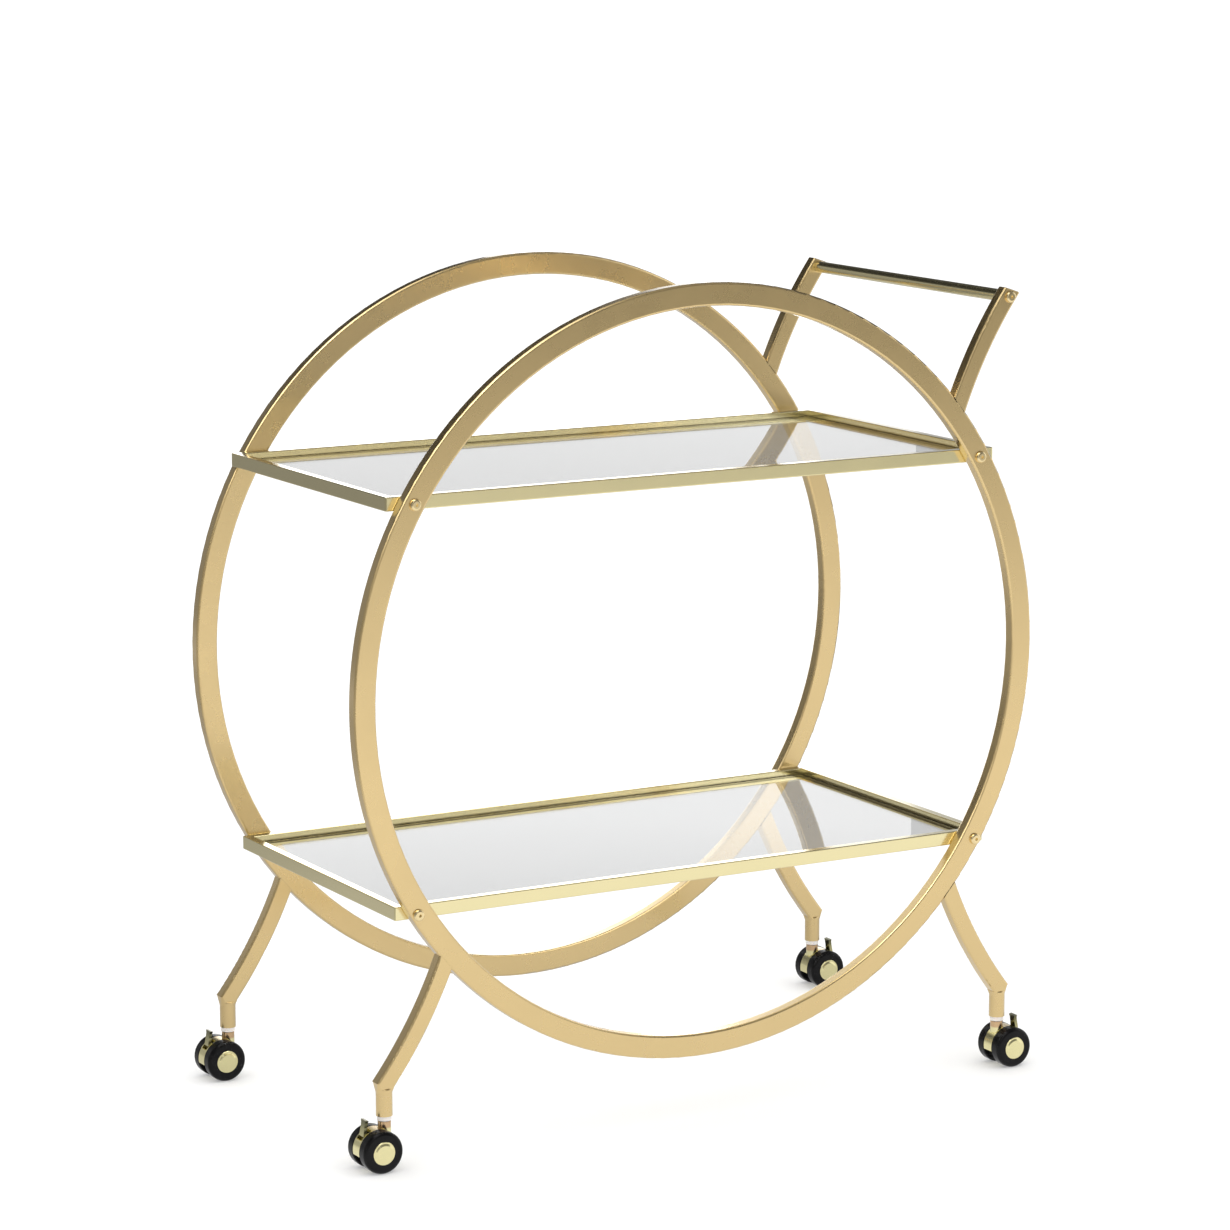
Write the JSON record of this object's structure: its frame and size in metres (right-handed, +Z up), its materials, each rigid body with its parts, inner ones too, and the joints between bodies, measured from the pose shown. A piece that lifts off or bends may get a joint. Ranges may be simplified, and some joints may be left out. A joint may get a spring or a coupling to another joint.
{
  "type": "bar cart",
  "caption": "Bar cart with round gold tube ends, glass shelves in slim rails, curved legs on braked twin-wheel casters and a push handle at one end.",
  "frame": {"origin": "on the floor below the middle of the cart", "axes": "+Z up, -Y to the front ring, +X to the end with the push handle"},
  "size_m": [0.741, 0.384, 0.8],
  "materials": {
    "satin_gold": "satin champagne-gold coating on steel tube",
    "polished_gold": "polished gold plating on steel",
    "gold_hardware": "bright pale-gold plating",
    "gold_bolt": "warm gold plating on button-head bolts",
    "clear_glass": "clear tempered glass with ground edges",
    "black_wheel": "moulded black nylon, soft sheen",
    "white_plastic": "natural white nylon",
    "bright_steel": "zinc-plated steel"
  },
  "bodies": {
    "frame": {"front_ring": "satin_gold", "rear_ring": "satin_gold", "front_left_leg": "satin_gold", "front_right_leg": "satin_gold", "rear_left_leg": "satin_gold", "rear_right_leg": "satin_gold", "front_left_socket": "satin_gold", "front_right_socket": "satin_gold", "rear_left_socket": "satin_gold", "rear_right_socket": "satin_gold", "front_handle_arm": "satin_gold", "rear_handle_arm": "satin_gold", "handle_bar": "polished_gold", "handle_plugs": "bright_steel", "handle_bolts": "gold_bolt", "upper_tray_frame": "polished_gold", "lower_tray_frame": "polished_gold", "upper_glass_ledge": "polished_gold", "lower_glass_ledge": "polished_gold", "upper_glass": "clear_glass", "lower_glass": "clear_glass", "tray_bolts": "gold_bolt", "tray_inserts": "bright_steel", "stem_sleeves": "white_plastic", "caster_stems": "bright_steel"},
    "front_left_caster": {"front_left_caster_housing": "gold_hardware", "front_left_axle": "bright_steel", "front_left_lever_pin": "bright_steel"},
    "front_left_brake": {"front_left_brake_lever": "gold_hardware"},
    "front_left_outer_roller": {"front_left_outer_wheel": "black_wheel", "front_left_outer_hub_cap": "gold_hardware"},
    "front_left_inner_roller": {"front_left_inner_wheel": "black_wheel", "front_left_inner_hub_cap": "gold_hardware"},
    "front_right_caster": {"front_right_caster_housing": "gold_hardware", "front_right_axle": "bright_steel", "front_right_lever_pin": "bright_steel"},
    "front_right_brake": {"front_right_brake_lever": "gold_hardware"},
    "front_right_outer_roller": {"front_right_outer_wheel": "black_wheel", "front_right_outer_hub_cap": "gold_hardware"},
    "front_right_inner_roller": {"front_right_inner_wheel": "black_wheel", "front_right_inner_hub_cap": "gold_hardware"},
    "rear_left_caster": {"rear_left_caster_housing": "gold_hardware", "rear_left_axle": "bright_steel", "rear_left_lever_pin": "bright_steel"},
    "rear_left_brake": {"rear_left_brake_lever": "gold_hardware"},
    "rear_left_outer_roller": {"rear_left_outer_wheel": "black_wheel", "rear_left_outer_hub_cap": "gold_hardware"},
    "rear_left_inner_roller": {"rear_left_inner_wheel": "black_wheel", "rear_left_inner_hub_cap": "gold_hardware"},
    "rear_right_caster": {"rear_right_caster_housing": "gold_hardware", "rear_right_axle": "bright_steel", "rear_right_lever_pin": "bright_steel"},
    "rear_right_brake": {"rear_right_brake_lever": "gold_hardware"},
    "rear_right_outer_roller": {"rear_right_outer_wheel": "black_wheel", "rear_right_outer_hub_cap": "gold_hardware"},
    "rear_right_inner_roller": {"rear_right_inner_wheel": "black_wheel", "rear_right_inner_hub_cap": "gold_hardware"}
  },
  "joints": [
    {"name": "front_left_swivel", "type": "hinge", "parent": "frame", "child": "front_left_caster", "pos_m": [-0.341, -0.17175, 0.0457], "axis": [0, 0, 1], "continuous": true},
    {"name": "front_left_outer_roll", "type": "hinge", "parent": "front_left_caster", "child": "front_left_outer_roller", "pos_m": [-0.3505, -0.17175, 0.02], "axis": [0, 1, 0], "continuous": true},
    {"name": "front_left_inner_roll", "type": "hinge", "parent": "front_left_caster", "child": "front_left_inner_roller", "pos_m": [-0.3505, -0.17175, 0.02], "axis": [0, 1, 0], "continuous": true},
    {"name": "front_left_brake_swing", "type": "hinge", "parent": "front_left_caster", "child": "front_left_brake", "pos_m": [-0.36, -0.17175, 0.0315], "axis": [0, -1, 0], "range_deg": [0, 25]},
    {"name": "front_right_swivel", "type": "hinge", "parent": "frame", "child": "front_right_caster", "pos_m": [0.341, -0.17175, 0.0457], "axis": [0, 0, 1], "continuous": true},
    {"name": "front_right_outer_roll", "type": "hinge", "parent": "front_right_caster", "child": "front_right_outer_roller", "pos_m": [0.3505, -0.17175, 0.02], "axis": [0, 1, 0], "continuous": true},
    {"name": "front_right_inner_roll", "type": "hinge", "parent": "front_right_caster", "child": "front_right_inner_roller", "pos_m": [0.3505, -0.17175, 0.02], "axis": [0, 1, 0], "continuous": true},
    {"name": "front_right_brake_swing", "type": "hinge", "parent": "front_right_caster", "child": "front_right_brake", "pos_m": [0.36, -0.17175, 0.0315], "axis": [0, 1, 0], "range_deg": [0, 25]},
    {"name": "rear_left_swivel", "type": "hinge", "parent": "frame", "child": "rear_left_caster", "pos_m": [-0.341, 0.17175, 0.0457], "axis": [0, 0, 1], "continuous": true},
    {"name": "rear_left_outer_roll", "type": "hinge", "parent": "rear_left_caster", "child": "rear_left_outer_roller", "pos_m": [-0.3505, 0.17175, 0.02], "axis": [0, 1, 0], "continuous": true},
    {"name": "rear_left_inner_roll", "type": "hinge", "parent": "rear_left_caster", "child": "rear_left_inner_roller", "pos_m": [-0.3505, 0.17175, 0.02], "axis": [0, 1, 0], "continuous": true},
    {"name": "rear_left_brake_swing", "type": "hinge", "parent": "rear_left_caster", "child": "rear_left_brake", "pos_m": [-0.36, 0.17175, 0.0315], "axis": [0, -1, 0], "range_deg": [0, 25]},
    {"name": "rear_right_swivel", "type": "hinge", "parent": "frame", "child": "rear_right_caster", "pos_m": [0.341, 0.17175, 0.0457], "axis": [0, 0, 1], "continuous": true},
    {"name": "rear_right_outer_roll", "type": "hinge", "parent": "rear_right_caster", "child": "rear_right_outer_roller", "pos_m": [0.3505, 0.17175, 0.02], "axis": [0, 1, 0], "continuous": true},
    {"name": "rear_right_inner_roll", "type": "hinge", "parent": "rear_right_caster", "child": "rear_right_inner_roller", "pos_m": [0.3505, 0.17175, 0.02], "axis": [0, 1, 0], "continuous": true},
    {"name": "rear_right_brake_swing", "type": "hinge", "parent": "rear_right_caster", "child": "rear_right_brake", "pos_m": [0.36, 0.17175, 0.0315], "axis": [0, 1, 0], "range_deg": [0, 25]}
  ]
}
